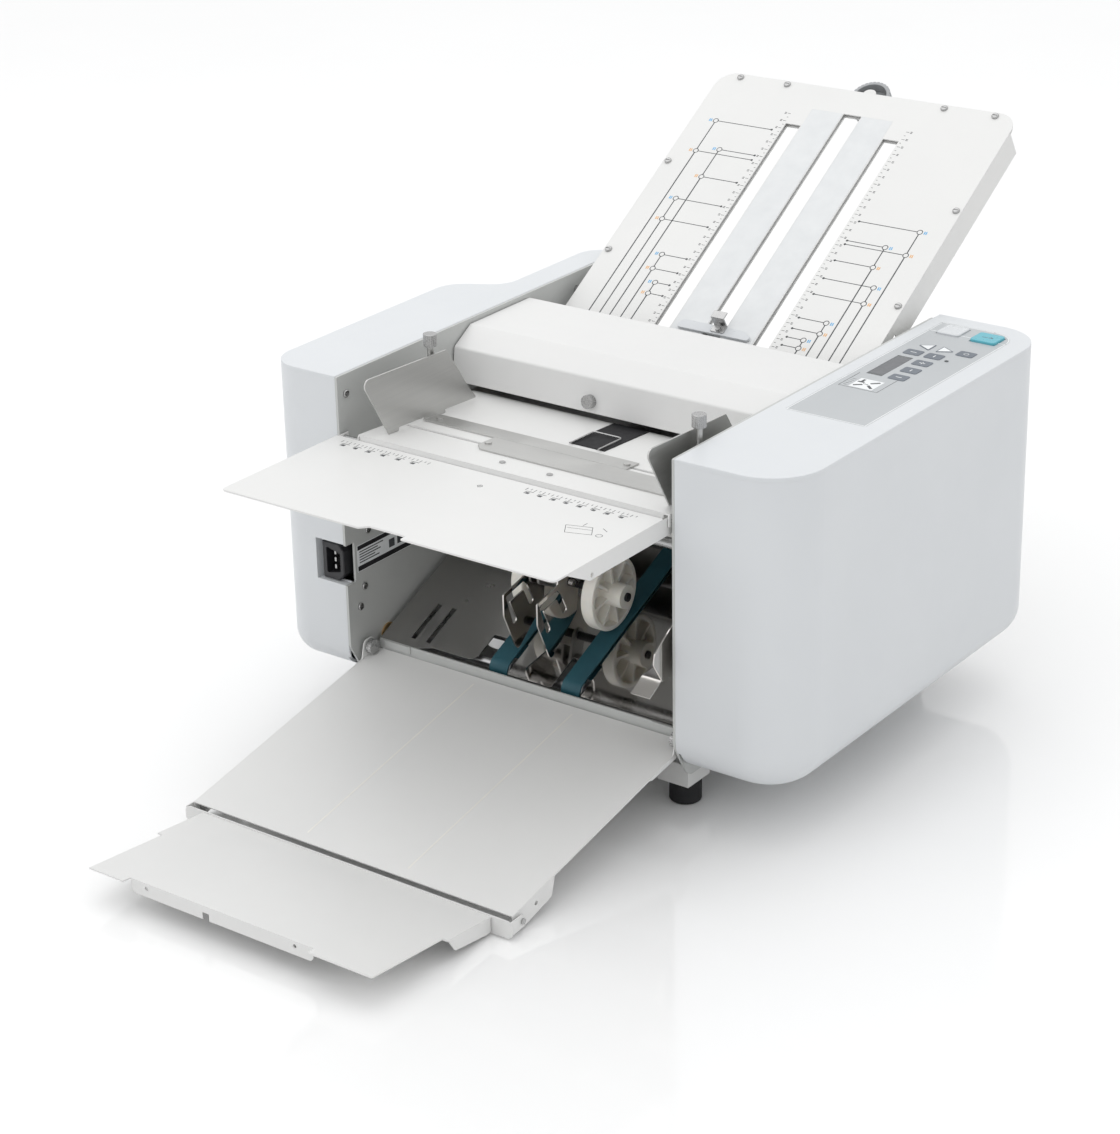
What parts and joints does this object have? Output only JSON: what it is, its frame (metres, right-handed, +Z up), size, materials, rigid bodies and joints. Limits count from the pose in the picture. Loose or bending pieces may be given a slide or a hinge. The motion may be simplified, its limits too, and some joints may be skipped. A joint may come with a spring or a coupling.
{
  "type": "desktop paper folding machine",
  "caption": "Desktop paper folding machine with hinged hood, sliding paper guides, raised fold plate, belt delivery and a fold-up tray extension.",
  "frame": {"origin": "on the floor, under the middle of the whole machine's bounding box", "axes": "+X to the operator's right across the machine, +Y back from the delivery side to the fold plate, +Z up"},
  "size_m": [0.552, 1.0046, 0.4928],
  "materials": {
    "housing_plastic": "satin moulded",
    "hood_paint": "satin powder coat",
    "tray_paint": "satin powder coat",
    "frame_steel": "satin grey",
    "brushed_steel": "brushed",
    "polished_steel": "mirror polished",
    "screw_steel": "bright zinc",
    "black_rubber": "matt",
    "belt_rubber": "matt teal",
    "nylon": "cream nylon",
    "black_plastic": "matt",
    "grey_plastic": "matt",
    "white_plastic": "satin",
    "panel_membrane": "membrane",
    "key_grey": "membrane",
    "turquoise": "satin",
    "display_glass": "clear",
    "bronze_bush": "sintered",
    "roller_steel": "ground",
    "board_green": "solder mask",
    "motor_paint": "satin black"
  },
  "bodies": {
    "root": {"side_frame_right": "frame_steel", "side_frame_left": "frame_steel", "base_plate": "frame_steel", "foot_brackets": "tray_paint", "rubber_feet": "black_rubber", "front_crossbar": "frame_steel", "frame_rods": "screw_steel", "machine_screws": "screw_steel", "roller_bearings": "bronze_bush", "housing_shell_right": "housing_plastic", "housing_shell_left": "housing_plastic", "housing_top_right": "housing_plastic", "housing_top_left": "housing_plastic", "control_panel": "panel_membrane", "display_window": "display_glass", "membrane_keys": "key_grey", "circuit_board": "board_green", "power_inlet": "black_plastic", "inlet_pins": "screw_steel", "power_supply": "brushed_steel", "fold_plate_front": "tray_paint", "fold_plate_back": "tray_paint", "second_fold_plate": "tray_paint", "paper_chutes": "brushed_steel", "motor": "motor_paint", "drive_belts": "black_rubber", "delivery_belts": "belt_rubber", "transport_plate": "polished_steel", "hook_plates": "polished_steel", "exit_bracket": "polished_steel"},
    "start_key": {"start_key": "turquoise"},
    "stop_key": {"stop_key": "white_plastic"},
    "hood": {"hood_cover": "hood_paint"},
    "hood_knob": {"hood_knob": "screw_steel"},
    "feed_tray": {"feed_tray": "tray_paint"},
    "feed_table": {"feed_table": "tray_paint", "table_fittings": "screw_steel", "separator_pad": "black_rubber"},
    "guide_left": {"guide_left": "brushed_steel"},
    "guide_right": {"guide_right": "brushed_steel"},
    "clamp_left": {"clamp_knob_left": "screw_steel"},
    "clamp_right": {"clamp_knob_right": "screw_steel"},
    "feed_roller": {"feed_roller": "roller_steel", "feed_tyre": "black_rubber"},
    "fold_roller_1": {"fold_roller_1": "roller_steel"},
    "fold_roller_2": {"fold_roller_2": "roller_steel"},
    "fold_roller_3": {"fold_roller_3": "roller_steel"},
    "fold_roller_4": {"fold_roller_4": "roller_steel"},
    "fold_stop": {"fold_stop": "white_plastic", "stop_clip": "screw_steel"},
    "skew_knob": {"skew_knob": "grey_plastic"},
    "belt_shaft_front": {"belt_shaft_front": "roller_steel"},
    "belt_shaft_rear": {"belt_shaft_rear": "roller_steel"},
    "stacker_arm": {"stacker_arm": "brushed_steel"},
    "stacker_axle": {"stacker_axle": "black_plastic", "stacker_wheels": "nylon"},
    "delivery_tray": {"delivery_tray": "tray_paint", "extension_pins": "screw_steel"},
    "tray_extension": {"tray_extension": "tray_paint"},
    "motor_pulley": {"motor_pulley": "roller_steel"}
  },
  "joints": [
    {"name": "hood_hinge", "type": "hinge", "parent": "root", "child": "hood", "pos_m": [-0.016, 0.1438, 0.33], "axis": [-1, 0, 0], "range_deg": [0, 75]},
    {"name": "hood_knob_turn", "type": "hinge", "parent": "hood", "child": "hood_knob", "pos_m": [-0.0359, 0.02957, 0.299], "axis": [0, -0.9899, 0.1414], "range_deg": [-90, 90]},
    {"name": "feed_tray_hinge", "type": "hinge", "parent": "root", "child": "feed_tray", "pos_m": [-0.016, -0.1297, 0.2838], "axis": [-1, 0, 0], "range_deg": [0, 25]},
    {"name": "feed_table_hinge", "type": "hinge", "parent": "root", "child": "feed_table", "pos_m": [-0.016, -0.1297, 0.2838], "axis": [-1, 0, 0], "range_deg": [0, 12]},
    {"name": "guide_left_slide", "type": "slide", "parent": "feed_table", "child": "guide_left", "axis": [1, 0, 0], "range_m": [-0.012, 0.085]},
    {"name": "guide_right_slide", "type": "slide", "parent": "feed_table", "child": "guide_right", "axis": [1, 0, 0], "range_m": [-0.085, 0]},
    {"name": "clamp_left_turn", "type": "hinge", "parent": "guide_left", "child": "clamp_left", "pos_m": [-0.158, -0.0442, 0.34], "axis": [0, 0, 1], "range_deg": [-180, 180]},
    {"name": "clamp_right_turn", "type": "hinge", "parent": "guide_right", "child": "clamp_right", "pos_m": [0.155, -0.0822, 0.34], "axis": [0, 0, 1], "range_deg": [-180, 180]},
    {"name": "start_key_press", "type": "slide", "parent": "root", "child": "start_key", "axis": [0, 0, -1], "range_m": [0, 0.001]},
    {"name": "stop_key_press", "type": "slide", "parent": "root", "child": "stop_key", "axis": [0, 0, -1], "range_m": [0, 0.001]},
    {"name": "fold_stop_slide", "type": "slide", "parent": "root", "child": "fold_stop", "axis": [0, 0.851, 0.5252], "range_m": [0, 0.235]},
    {"name": "skew_knob_turn", "type": "hinge", "parent": "root", "child": "skew_knob", "pos_m": [-0.016, 0.47219, 0.48794], "axis": [0, -0.5252, 0.851], "range_deg": [-150, 150]},
    {"name": "fold_roller_2_spin", "type": "hinge", "parent": "root", "child": "fold_roller_2", "pos_m": [-0.016, 0.0813, 0.2626], "axis": [1, 0, 0], "continuous": true},
    {"name": "fold_roller_1_spin", "type": "hinge", "parent": "root", "child": "fold_roller_1", "pos_m": [-0.016, 0.08232, 0.29498], "axis": [1, 0, 0], "continuous": true},
    {"name": "fold_roller_3_spin", "type": "hinge", "parent": "root", "child": "fold_roller_3", "pos_m": [-0.016, 0.11363, 0.26051], "axis": [1, 0, 0], "continuous": true},
    {"name": "fold_roller_4_spin", "type": "hinge", "parent": "root", "child": "fold_roller_4", "pos_m": [-0.016, 0.08283, 0.23024], "axis": [1, 0, 0], "continuous": true},
    {"name": "feed_roller_spin", "type": "hinge", "parent": "root", "child": "feed_roller", "pos_m": [-0.016, 0.0502, 0.2964], "axis": [1, 0, 0], "continuous": true},
    {"name": "belt_shaft_front_spin", "type": "hinge", "parent": "root", "child": "belt_shaft_front", "pos_m": [-0.016, -0.0792, 0.0733], "axis": [1, 0, 0], "continuous": true},
    {"name": "belt_shaft_rear_spin", "type": "hinge", "parent": "root", "child": "belt_shaft_rear", "pos_m": [-0.016, 0.1078, 0.15734], "axis": [1, 0, 0], "continuous": true},
    {"name": "motor_spin", "type": "hinge", "parent": "root", "child": "motor_pulley", "pos_m": [-0.016, 0.1678, 0.18], "axis": [1, 0, 0], "continuous": true},
    {"name": "stacker_arm_lift", "type": "hinge", "parent": "root", "child": "stacker_arm", "pos_m": [-0.016, -0.0492, 0.159], "axis": [1, 0, 0], "range_deg": [0, 20]},
    {"name": "stacker_wheels_spin", "type": "hinge", "parent": "stacker_arm", "child": "stacker_axle", "pos_m": [-0.016, -0.0282, 0.148], "axis": [1, 0, 0], "continuous": true},
    {"name": "delivery_tray_hinge", "type": "hinge", "parent": "root", "child": "delivery_tray", "pos_m": [-0.016, -0.1132, 0.074], "axis": [-1, 0, 0], "range_deg": [0, 30]},
    {"name": "tray_extension_hinge", "type": "hinge", "parent": "delivery_tray", "child": "tray_extension", "pos_m": [-0.016, -0.3449, 0.0112], "axis": [-1, 0, 0], "range_deg": [0, 100]}
  ],
  "couplings": [
    {"joint": "fold_roller_1_spin", "follows": "fold_roller_2_spin", "ratio": -1},
    {"joint": "fold_roller_3_spin", "follows": "fold_roller_2_spin", "ratio": -1},
    {"joint": "fold_roller_4_spin", "follows": "fold_roller_2_spin", "ratio": -1},
    {"joint": "feed_roller_spin", "follows": "fold_roller_2_spin", "ratio": -1},
    {"joint": "belt_shaft_front_spin", "follows": "fold_roller_2_spin", "ratio": -1},
    {"joint": "belt_shaft_rear_spin", "follows": "fold_roller_2_spin", "ratio": -1},
    {"joint": "motor_spin", "follows": "fold_roller_2_spin", "ratio": 2},
    {"joint": "stacker_wheels_spin", "follows": "fold_roller_2_spin", "ratio": 0.3468}
  ]
}
